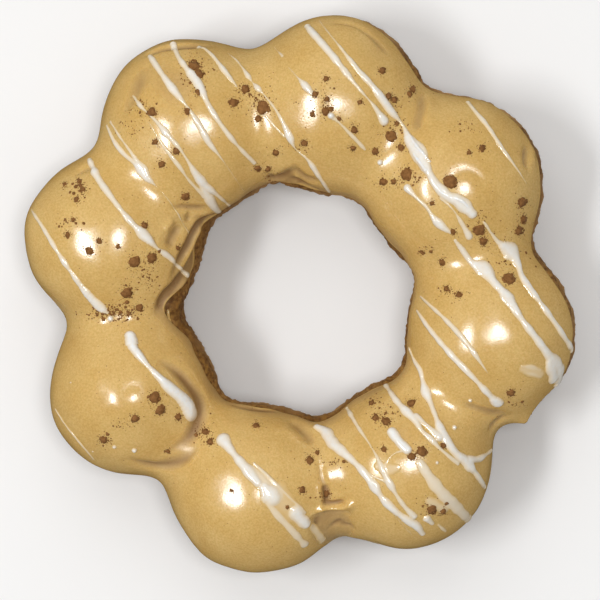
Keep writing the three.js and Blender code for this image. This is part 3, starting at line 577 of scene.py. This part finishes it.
def pocket_fall(points):
    """Fall of the surface in the flat-floored pocket."""
    away = (points - seen_points([POCKET["at"]])) * (1, 1, POCKET["height_share"])
    out = norm(away, axis=1) / POCKET["radius"]
    return POCKET["depth"] * np.exp(-(out ** POCKET["steepness"]))


def flap_rise(points):
    """Rise of the surface at the pointed flap."""
    corner = surface_points(np.radians(FLAP["turn"]), np.radians(FLAP["angle"]), 0.0)
    return FLAP["rise"] * np.exp(-norm(points - corner, axis=1) / FLAP["width"])


def icing_relief(points):
    """Rise of the icing over the smooth balls: slow waves, creases, swells, the pocket and the flap."""
    waves = layered(points, ICING_WAVES)
    flat = points.reshape(-1, 3)
    relief = waves.reshape(-1)
    for crease in CREASES:
        close, rise = crease_rise(flat, *crease)
        relief[close] += rise
    for swell in SWELLS:
        relief += swell_rise(flat, *swell)
    relief -= pocket_fall(flat)
    relief += flap_rise(flat)
    return relief.reshape(waves.shape)


def ring_faces(ring_steps, section_steps):
    """Quads of a grid that closes both ways."""
    index = np.arange(ring_steps * section_steps).reshape(ring_steps, section_steps)
    ahead = np.roll(index, -1, axis=0)
    corners = [index, ahead, np.roll(ahead, -1, axis=1), np.roll(index, -1, axis=1)]
    return np.stack(corners, axis=-1).reshape(-1, 4)


def add_object(name, data):
    """Object in the scene for a mesh, lamp or camera."""
    thing = bpy.data.objects.new(name, data)
    bpy.context.scene.collection.objects.link(thing)
    return thing


def above_floor(points):
    """Points moved from the centre plane's frame to the floor's, and flattened on it."""
    lifted = points + (0, 0, CENTRE_HEIGHT)
    lifted[..., 2] = np.maximum(lifted[..., 2], 0)
    return lifted


def make_piece(name, points, faces, material):
    """Smooth-shaded mesh object from points in the centre plane's frame, riding on the part."""
    mesh = bpy.data.meshes.new(name)
    points = np.asarray(above_floor(points), np.float32).reshape(-1, 3) * MM
    faces = np.asarray(faces, np.int32)
    sides = faces.shape[1]
    mesh.vertices.add(len(points))
    mesh.vertices.foreach_set("co", points.ravel())
    mesh.loops.add(faces.size)
    mesh.loops.foreach_set("vertex_index", faces.ravel())
    mesh.polygons.add(len(faces))
    mesh.polygons.foreach_set("loop_start", np.arange(0, faces.size, sides, dtype=np.int32))
    mesh.polygons.foreach_set("use_smooth", np.ones(len(faces), bool))
    mesh.update(calc_edges=True)
    mesh.validate()
    mesh.materials.append(material)
    piece = add_object(name, mesh)
    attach(piece, "root")
    return piece


def add_attribute(piece, name, values):
    """Number at each vertex, for the material to read."""
    layer = piece.data.attributes.new(name, "FLOAT", "POINT")
    layer.data.foreach_set("value", np.asarray(values, np.float32).ravel())


class Nodes:
    """Short way to lay out a material's nodes."""

    def __init__(self, name):
        self.material = bpy.data.materials.new(name)
        self.material.use_nodes = True
        self.tree = self.material.node_tree
        self.shader = self.tree.nodes["Principled BSDF"]
        self.place = self.add("ShaderNodeTexCoord", {}).outputs["Object"]
        self.normal = None

    def fill(self, node, inputs):
        """Give a node its inputs, each a value or another node's output."""
        for key, value in inputs.items():
            if isinstance(value, bpy.types.NodeSocket):
                self.tree.links.new(value, node.inputs[key])
            else:
                node.inputs[key].default_value = value

    def add(self, kind, inputs, **settings):
        """New node with its settings and inputs."""
        node = self.tree.nodes.new(kind)
        for key, value in settings.items():
            setattr(node, key, value)
        self.fill(node, inputs)
        return node

    def set(self, **inputs):
        """Give the shader its inputs, named with _ for a space."""
        self.fill(self.shader, {key.replace("_", " "): value for key, value in inputs.items()})

    def noise(self, size_mm, detail=3.0, roughness=0.55):
        """Noise with spots of about the given size."""
        inputs = {"Vector": self.place, "Scale": 1 / (size_mm * MM), "Detail": detail, "Roughness": roughness}
        return self.add("ShaderNodeTexNoise", inputs).outputs["Fac"]

    def attribute(self, name):
        """Number that the mesh holds at each vertex."""
        return self.add("ShaderNodeAttribute", {}, attribute_name=name).outputs["Fac"]

    def spread(self, source, band, to=(0.0, 1.0)):
        """Band of values stretched to a new range and cut off at its ends."""
        inputs = {"Value": source, "From Min": band[0], "From Max": band[1], "To Min": to[0], "To Max": to[1]}
        return self.add("ShaderNodeMapRange", inputs).outputs["Result"]

    def larger(self, first, second):
        """Larger of two values."""
        return self.add("ShaderNodeMath", {0: first, 1: second}, operation="MAXIMUM").outputs["Value"]

    def blend(self, share, first, second):
        """Blend of two colours."""
        inputs = {"Factor": share, "A": first, "B": second}
        return self.add("ShaderNodeMix", inputs, data_type="RGBA").outputs["Result"]

    def bump(self, height, distance_mm, strength):
        """Layer of bumps over any that are there already."""
        inputs = {"Height": height, "Distance": distance_mm * MM, "Strength": strength}
        if self.normal is not None:
            inputs["Normal"] = self.normal
        self.normal = self.add("ShaderNodeBump", inputs).outputs["Normal"]
        self.set(Normal=self.normal)


def linear(colour):
    """Linear colour from the 0 to 255 values that a picture shows."""
    shown = np.array(colour) / 255
    return (*np.where(shown <= 0.04045, shown / 12.92, ((shown + 0.055) / 1.055) ** 2.4), 1)


def icing_material():
    """Caramel icing, fine-grained and glossy, with painted shade that browns it in its creases, dents and
    pocket and at the hole, where it is also duller.
    """
    nodes = Nodes("caramel_icing")
    patches = nodes.spread(nodes.noise(size_mm=7.0), band=(0.35, 0.65))
    grain = nodes.spread(nodes.noise(size_mm=0.35, detail=2.0, roughness=0.7), band=(0.34, 0.66))
    dark = nodes.blend(patches, *map(linear, ICING_DARK))
    pale = nodes.blend(patches, *map(linear, ICING_PALE))
    tone = nodes.blend(grain, dark, pale)
    hollow_painted_shade = nodes.attribute("hollow_painted_shade")
    # Painted shade: the icing darkens to a brown in its creases, dents and pocket and along the edge at the
    # hole
    shade_share = nodes.spread(hollow_painted_shade, band=(0.15, 0.9), to=(0.0, 0.85))
    gloss = nodes.spread(nodes.noise(size_mm=0.6), band=(0.3, 0.7), to=(0.18, 0.26))
    dull = nodes.spread(hollow_painted_shade, band=(0.1, 0.6), to=(0.18, 0.7))
    colour = nodes.blend(shade_share, tone, linear(ICING_PAINTED_SHADE))
    nodes.set(Base_Color=colour, Roughness=nodes.larger(gloss, dull), IOR=1.7, Specular_IOR_Level=0.8)
    nodes.bump(nodes.noise(size_mm=0.3, detail=1.0), distance_mm=0.06, strength=0.22)
    nodes.set(Subsurface_Weight=0.12, Subsurface_Scale=0.0015, Subsurface_Radius=(1.0, 0.6, 0.3))
    return nodes.material


def dough_material():
    """Fried dough, browned in patches and crumbs, paler at its waist."""
    nodes = Nodes("fried_dough")
    patches = nodes.spread(nodes.noise(size_mm=5.0, detail=5.0), band=(0.35, 0.65))
    crumbs = nodes.spread(nodes.noise(size_mm=0.7, detail=4.0), band=(0.35, 0.65))
    tone = nodes.blend(patches, *map(linear, DOUGH_TONES))
    crusty = nodes.blend(crumbs, tone, linear(DOUGH_CRUMBS))
    colour = nodes.blend(nodes.attribute("waist"), crusty, linear(DOUGH_WAIST))
    nodes.set(Base_Color=colour, Roughness=nodes.spread(crumbs, band=(0.0, 1.0), to=(0.5, 0.75)))
    nodes.bump(nodes.noise(size_mm=1.2, detail=5.0), distance_mm=0.3, strength=0.5)
    nodes.bump(nodes.noise(size_mm=0.3), distance_mm=0.1, strength=0.4)
    nodes.set(IOR=1.45, Subsurface_Weight=0.06, Subsurface_Scale=0.001)
    return nodes.material


def drizzle_material():
    """White drizzle, letting the icing's colour through where it is thin."""
    nodes = Nodes("white_drizzle")
    thick = nodes.attribute("thick")
    body = nodes.blend(nodes.spread(thick, band=(0.04, 0.56)), linear(DRIZZLE_THIN), linear(DRIZZLE_THICK))
    streaks = nodes.spread(nodes.noise(size_mm=0.8), band=(0.35, 0.7), to=(0.0, 0.3))
    streaked = nodes.blend(streaks, body, linear(DRIZZLE_STREAKS))
    cover = nodes.spread(thick, band=(0.0, 0.1))
    colour = nodes.blend(cover, linear(DRIZZLE_EDGE), streaked)
    nodes.set(Base_Color=colour, Roughness=0.12, IOR=1.5, Specular_IOR_Level=1.0)
    nodes.set(Subsurface_Weight=0.25, Subsurface_Scale=0.0008, Subsurface_Radius=(1.0, 0.9, 0.75))
    return nodes.material


def cocoa_material():
    """Dry cocoa, dull and crumbly."""
    nodes = Nodes("cocoa")
    patches = nodes.spread(nodes.noise(size_mm=0.5, detail=4.0), band=(0.3, 0.7))
    nodes.set(Base_Color=nodes.blend(patches, *map(linear, COCOA_TONES)), Roughness=0.85, IOR=1.4)
    nodes.bump(nodes.noise(size_mm=0.2, detail=3.0), distance_mm=0.15, strength=0.7)
    return nodes.material


def floor_material():
    """Pale, dull floor."""
    nodes = Nodes("pale_floor")
    nodes.set(Base_Color=nodes.blend(nodes.noise(size_mm=40.0), *FLOOR_TONES), Roughness=0.9)
    return nodes.material


def icing_grid():
    """Outer face of the icing: a grid of points, its normals and relief, and the angles of its rows."""
    theta = np.linspace(0, 2 * np.pi, RING_STEPS, endpoint=False)
    outer, inner = edge_angle(OUTER_EDGE, theta), edge_angle(INNER_EDGE, theta)
    share = np.linspace(0, 1, COAT_STEPS + 1)
    phi = outer[:, None] + (inner - outer)[:, None] * share
    points = surface_points(theta[:, None], phi, 0.0)
    normals = surface_normals(points)
    relief = icing_relief(points)
    rise = np.where(relief < 0, FOLD_LIMIT * np.tanh(relief / FOLD_LIMIT), relief)
    shaped = points + normals * rise[..., None]
    return SimpleNamespace(
        points=shaped, normals=normals, relief=relief, theta=theta, outer=outer, inner=inner)


def make_icing(coat):
    """Closed icing shell: the outer face, a rounded lip, the back face and the other lip."""
    theta = coat.theta[:, None]
    bulge = np.radians(LIP_BULGE)
    turn = np.pi * np.arange(1, LIP_STEPS) / LIP_STEPS

    def lip(edge, way):
        phi = edge[:, None] + way * bulge * np.sin(turn)
        return surface_points(theta, phi, -ICING_THICKNESS * (1 - np.cos(turn)) / 2)

    share = np.linspace(0, 1, BACK_STEPS + 1)
    back_phi = coat.inner[:, None] + (coat.outer - coat.inner)[:, None] * share
    back = surface_points(theta, back_phi, -ICING_THICKNESS)
    loop = np.concatenate([coat.points, lip(coat.inner, 1), back, lip(coat.outer, -1)[:, ::-1]], axis=1)
    faces = ring_faces(*loop.shape[:2])
    piece = make_piece("icing_coat", loop, faces, icing_material())
    # Painted shade for the material, deepest in creases, dents and the pocket and along the edge at the hole;
    # it also dulls the gloss there
    hollow_painted_shade = np.zeros(loop.shape[:2])
    rim = np.clip(1 - (1 - np.linspace(0, 1, COAT_STEPS + 1)) / INNER_RIM, 0, 1)
    hollow_painted_shade[:, :len(rim)] = np.clip(RIM_PAINTED_SHADE * rim - coat.relief, 0, 1)
    add_attribute(piece, "hollow_painted_shade", hollow_painted_shade)
    return piece


def make_dough():
    """Ring of fried dough with a rough crust, flat where each ball rests."""
    theta = np.linspace(0, 2 * np.pi, DOUGH_RING_STEPS, endpoint=False)[:, None]
    phi = np.linspace(0, 2 * np.pi, DOUGH_STEPS, endpoint=False)
    past_inner = (phi - edge_angle(INNER_EDGE, theta)) % (2 * np.pi)
    past_outer = (edge_angle(OUTER_EDGE, theta) - phi) % (2 * np.pi)
    bare = past_inner + past_outer < 2 * np.pi
    swell = np.where(bare, np.minimum(past_inner, past_outer), 0) / np.radians(DOUGH_SWELL)
    swell = smooth_step(np.clip(swell, 0, 1))
    level = DOUGH_COVERED + (DOUGH_BARE - DOUGH_COVERED) * swell
    points = surface_points(theta, phi, level)
    normals = surface_normals(points)
    rise = np.where(bare, np.clip(layered(points, CRUST), *CRUST_LIMITS), 0)
    crust = points + normals * rise[..., None]
    piece = make_piece("dough_ring", crust, ring_faces(DOUGH_RING_STEPS, DOUGH_STEPS), dough_material())
    height = points[..., 2] + layered(points, WAIST["waver"])
    away = (height - WAIST["height"]) / WAIST["half"]
    add_attribute(piece, "waist", WAIST["strength"] * np.exp(-(away ** 2)))
    return piece


def finer(grid):
    """Grid with extra rows and columns between its own, closed round the ring."""
    shares = np.arange(FINE) / FINE
    rows = [grid * (1 - share) + np.roll(grid, -1, axis=0) * share for share in shares]
    grid = np.stack(rows, axis=1).reshape(-1, *grid.shape[1:])
    columns = [grid[:, :-1] * (1 - share) + grid[:, 1:] * share for share in shares]
    return np.stack(columns, axis=2).reshape(len(grid), -1, grid.shape[-1])


def on_icing(places, coat):
    """Places moved on to the shaped icing, at their angles round the ring and section."""
    points, outer, inner = coat.points, coat.outer, coat.inner
    count = len(points)
    ring = np.arctan2(places[:, 1], places[:, 0]) % (2 * np.pi) / (2 * np.pi) * count
    radius = np.hypot(places[:, 0], places[:, 1]) - CORE_RADIUS
    row = ring.astype(int) % count
    next_row = (row + 1) % count
    angle = np.arctan2(places[:, 2], radius)
    share = np.clip((angle - outer[row]) / (inner[row] - outer[row]), 0, 1) * COAT_STEPS
    column = np.minimum(share.astype(int), COAT_STEPS - 1)
    across, up = (ring - ring.astype(int))[:, None], (share - column)[:, None]
    low = points[row, column] * (1 - across) + points[next_row, column] * across
    high = points[row, column + 1] * (1 - across) + points[next_row, column + 1] * across
    return low * (1 - up) + high * up


def drizzle_height(points, coat):
    """Height of the drizzle over each point of a fine grid, negative where there is none."""
    flat = points.reshape(-1, 3)
    total = np.zeros(len(flat))
    marks = [(body, path_points(places, DRIZZLE_STEP)) for body, places in STRANDS]
    marks += [(DROP_BODY, np.array([[x, y, 2 * radius]])) for x, y, radius in DROPS]
    for body, stations in marks:
        path = on_icing(seen_points(stations[:, :2]), coat)
        wide = stations[:, 2] * (1 + layered(path, DRIZZLE_WAVER))
        wide = np.maximum(wide, DRIZZLE_LEAST_WIDTH)
        close = points_near(flat, path, wide.max())
        gap, which = nearest(flat[close], path)
        width = wide[which]
        rise = np.minimum(DRIZZLE_RISE_MAX, DRIZZLE_RISE * width) * body
        height = rise * (1 - (2 * gap / width) ** DRIZZLE_CROWN)
        total[close] += np.exp(np.clip(height, *DRIZZLE_HEIGHTS) / DRIZZLE_SOFTNESS)
    return (DRIZZLE_SOFTNESS * np.log(np.maximum(total, TINY))).reshape(points.shape[:-1])


def sheet_piece(name, top, bottom, keep, material):
    """Closed piece from the kept quads of a grid round the ring: a top, a bottom and a rim."""
    rows, columns = top.shape[:2]
    index = np.arange(rows * columns).reshape(rows, columns)
    ahead = np.roll(index, -1, axis=0)
    quads = np.stack([index[:, :-1], ahead[:, :-1], ahead[:, 1:], index[:, 1:]], axis=-1)
    quads = quads[keep].reshape(-1, 4)
    used, flat = np.unique(quads, return_inverse=True)
    quads = flat.reshape(-1, 4)
    count = len(used)
    edges = np.concatenate([quads[:, [k, (k + 1) % 4]] for k in range(4)])
    code = edges[:, 0] * count + edges[:, 1]
    back = edges[:, 1] * count + edges[:, 0]
    rim = edges[~np.isin(code, back)]
    walls = np.stack([rim[:, 1], rim[:, 0], rim[:, 0] + count, rim[:, 1] + count], axis=-1)
    faces = np.concatenate([quads, quads[:, ::-1] + count, walls])
    points = np.concatenate([top.reshape(-1, 3)[used], bottom.reshape(-1, 3)[used]])
    return make_piece(name, points, faces, material), used


def make_drizzle(coat):
    """White drizzle: one closed piece lying on the icing, its edges sunk into it."""
    points = finer(coat.points)
    normals = finer(coat.normals)
    normals /= norm(normals, axis=-1, keepdims=True)
    height = drizzle_height(points, coat)
    wet = height > 0
    ahead = np.roll(wet, -1, axis=0)
    keep = wet[:, :-1] | wet[:, 1:] | ahead[:, :-1] | ahead[:, 1:]
    top = points + normals * np.maximum(height, -DRIZZLE_EDGE_DEPTH)[..., None]
    bottom = points - normals * DRIZZLE_BASE_DEPTH
    piece, used = sheet_piece("drizzle", top, bottom, keep, drizzle_material())
    thick = np.maximum(height.reshape(-1)[used], 0)
    add_attribute(piece, "thick", np.concatenate([thick, thick]))
    return piece


def ball_mesh(rings, sides):
    """Unit ball as points and triangles, with single points at its poles."""
    tilt = np.pi * np.arange(1, rings)[:, None] / rings
    turn = 2 * np.pi * np.arange(sides) / sides
    x, y, z = np.sin(tilt) * np.cos(turn), np.sin(tilt) * np.sin(turn), np.cos(tilt)
    belt = np.stack(np.broadcast_arrays(x, y, z), axis=-1)
    points = np.concatenate([[[0, 0, 1]], belt.reshape(-1, 3), [[0, 0, -1]]])
    faces = []
    last = len(points) - 1
    for side in range(sides):
        ahead = (side + 1) % sides
        faces.append((0, 1 + side, 1 + ahead))
        faces.append((last, last - sides + ahead, last - sides + side))
        for ring in range(rings - 2):
            upper, lower = 1 + ring * sides, 1 + (ring + 1) * sides
            faces.append((upper + side, lower + side, lower + ahead))
            faces.append((upper + side, lower + ahead, upper + ahead))
    return points, np.array(faces)


def joined(parts):
    """Points and faces of many meshes as those of one."""
    points, faces = zip(*parts)
    starts = np.cumsum([0] + [len(each) for each in points[:-1]])
    return np.concatenate(points), np.concatenate([each + start for each, start in zip(faces, starts)])


def around(x, y, out, turn):
    """Place at a distance and in a direction from another."""
    return x + out * np.cos(turn), y + out * np.sin(turn)


def clump_bits(draw, x, y, radius):
    """One clump as places in plan, radii and kinds: its heart, crumbs heaped round it and grains beyond."""
    bits = [(x, y, HEART_SHARE * radius, "heart")]
    starts = draw.uniform(0, 2 * np.pi, len(CRUMB_LOBES))
    for turn in draw.uniform(0, 2 * np.pi, int(CRUMB_NUMBER[0] + CRUMB_NUMBER[1] * radius)):
        lobes = 1
        for (count, depth), start in zip(CRUMB_LOBES, starts):
            lobes += depth * np.sin(count * turn + start)
        out = radius * lobes * draw.uniform(*CRUMB_OUT)
        size = np.clip(radius * draw.uniform(*CRUMB_SHARE), *CRUMB_LIMITS)
        bits.append((*around(x, y, out, turn), size, "crumb"))
    for turn in draw.uniform(0, 2 * np.pi, int(GRAIN_NUMBER[0] + GRAIN_NUMBER[1] * radius)):
        out = radius * (GRAIN_FROM + draw.exponential(GRAIN_FURTHER))
        bits.append((*around(x, y, out, turn), draw.uniform(*GRAIN_SIZES), "grain"))
    return bits


def dust_bits(draw):
    """Grains of dust in patches, and loose ones all round the ring."""
    bits = []
    for x, y, wide, tall, count in DUST:
        for _ in range(count):
            east, north = draw.normal(scale=DUST_SPREAD, size=2) * (wide, tall)
            bits.append((x + east, y + north, DUST_LEAST + draw.exponential(DUST_MORE), "grain"))
    turns = draw.uniform(0, 2 * np.pi, LOOSE_GRAINS)
    outs = draw.normal(scale=LOOSE_SPREAD, size=LOOSE_GRAINS)
    for turn, out in zip(turns, outs):
        radius = CORE_RADIUS + np.clip(out, -LOOSE_LIMIT, LOOSE_LIMIT)
        bits.append((*around(0, 0, radius, turn), draw.uniform(*LOOSE_SIZES), "grain"))
    return bits


def make_cocoa(coat):
    """Cocoa: low crumbly clumps with dust round them, one piece lying on the icing."""
    draw = np.random.default_rng(COCOA_SEED)
    bits = []
    for clump in CLUMPS:
        bits += clump_bits(draw, *clump)
    bits += dust_bits(draw)
    shapes = {kind: ball_mesh(*facets) for kind, facets in COCOA_FACETS.items()}
    seats = on_icing(seen_points([(x, y) for x, y, _, _ in bits]), coat)
    normals = surface_normals(seats)
    parts = []
    for (_, _, size, kind), seat, normal in zip(bits, seats, normals):
        shape, faces = shapes[kind]
        waves = ripple(shape * size + seat, size, LUMPS["seed"], count=LUMPS["waves"])
        lumps = 1 + LUMPS["size"] * waves
        side = np.cross(normal, (1.0, 0.0, 0.0))
        side /= norm(side)
        axes = np.stack([side, np.cross(normal, side), normal])
        flat = min(COCOA_RISE_SHARE, COCOA_RISE / size)
        local = shape * lumps[:, None] * size * (1, 1, flat)
        parts.append((seat + local @ axes, faces))
    points, faces = joined(parts)
    return make_piece("cocoa", points, faces, cocoa_material())


def thread_mesh():
    """Thread of icing: a tube with rounded ends."""
    tube, faces = ball_mesh(*THREAD_FACETS)
    along = np.arccos(np.clip(tube[:, 2], -1, 1)) / np.pi
    turn = np.arctan2(tube[:, 1], tube[:, 0])
    stations = path_points(THREAD_PLACES, THREAD_STEP)
    spine = seen_points(stations[:, :2], THREAD_DEPTH)
    marks = np.arange(len(spine))
    where = along * (len(spine) - 1)
    middle = np.stack([np.interp(where, marks, spine[:, axis]) for axis in range(3)], axis=1)
    wide = np.interp(where, marks, stations[:, 2])
    normal = surface_normals(middle)
    side = np.cross(normal, spine[-1] - spine[0])
    side /= norm(side, axis=1, keepdims=True)
    taper = np.minimum(1, np.sqrt(np.minimum(along, 1 - along) * THREAD_TAPER))
    out = side * np.cos(turn)[:, None] + normal * np.sin(turn)[:, None]
    return middle + out * (wide * taper / 2)[:, None], faces


def bead_meshes():
    """Row of beads of icing along its edge at the hole."""
    ball, faces = ball_mesh(*BEAD_FACETS)
    turns = np.radians([turn for turn, _ in BEADS])
    angles = edge_angle(INNER_EDGE, turns) + np.radians(BEAD_PAST_EDGE)
    seats = surface_points(turns, angles, BEAD_DEPTH)
    return [(seat + ball * radius, faces) for seat, (_, radius) in zip(seats, BEADS)]


def make_drips():
    """Thread and beads of icing hanging over its edge on to the dough."""
    points, faces = joined([thread_mesh()] + bead_meshes())
    return make_piece("icing_drips", points, faces, bpy.data.materials["caramel_icing"])


def make_floor():
    """Wide floor that reflections don't show."""
    corners = [(x * FLOOR_HALF, y * FLOOR_HALF, 0) for x, y in ((-1, -1), (1, -1), (1, 1), (-1, 1))]
    mesh = bpy.data.meshes.new("floor")
    mesh.from_pydata(corners, [], [(0, 1, 2, 3)])
    mesh.materials.append(floor_material())
    floor = add_object("floor", mesh)
    floor.visible_glossy = False


def look_from(thing, place, target):
    """Put a lamp or camera at a place and turn it to a target, with its top along +Y."""
    back = (Vector(place) - Vector(target)).normalized()
    right = Vector((0, 1, 0)).cross(back).normalized()
    basis = Matrix((right, back.cross(right), back)).transposed().to_4x4()
    thing.matrix_world = Matrix.Translation(place) @ basis


def make_camera():
    """Camera at the eye that the plan places were read from."""
    data = bpy.data.cameras.new("camera")
    data.sensor_width = SENSOR_WIDTH
    data.lens = SENSOR_WIDTH * EYE_DISTANCE / PICTURE_WIDTH
    camera = add_object("camera", data)
    eye = (eye_point() + (0, 0, CENTRE_HEIGHT)) * MM
    look_from(camera, eye, (LOOK_AT[0] * MM, LOOK_AT[1] * MM, CENTRE_HEIGHT * MM))
    bpy.context.scene.camera = camera


def make_lamp(name, shape, place, wide, tall, power, gloss):
    """Area lamp turned towards the middle of the ring."""
    data = bpy.data.lights.new(name, "AREA")
    data.shape = shape
    data.size, data.size_y = wide, tall
    data.energy = power
    lamp = add_object(name, data)
    lamp.visible_glossy = gloss
    look_from(lamp, place, (0, 0, CENTRE_HEIGHT * MM))


def make_sky():
    """Even light from all round, which gloss doesn't show."""
    sky = bpy.data.worlds.new("studio")
    bpy.context.scene.world = sky
    sky.use_nodes = True
    background = sky.node_tree.nodes["Background"]
    background.inputs["Color"].default_value = SKY_COLOUR
    background.inputs["Strength"].default_value = SKY_STRENGTH
    sky.cycles_visibility.glossy = False


make_camera()
for lamp in LAMPS:
    make_lamp(*lamp)
make_sky()
bpy.context.scene.view_settings.view_transform = "Standard"
make_floor()
icing_face = icing_grid()
dough = make_dough()
icing = make_icing(icing_face)
drizzle = make_drizzle(icing_face)
cocoa = make_cocoa(icing_face)
drips = make_drips()
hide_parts("dough")
for piece, slot in ((icing, "icing"), (drips, "icing"), (drizzle, "drizzle"), (cocoa, "cocoa")):
    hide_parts("icing")
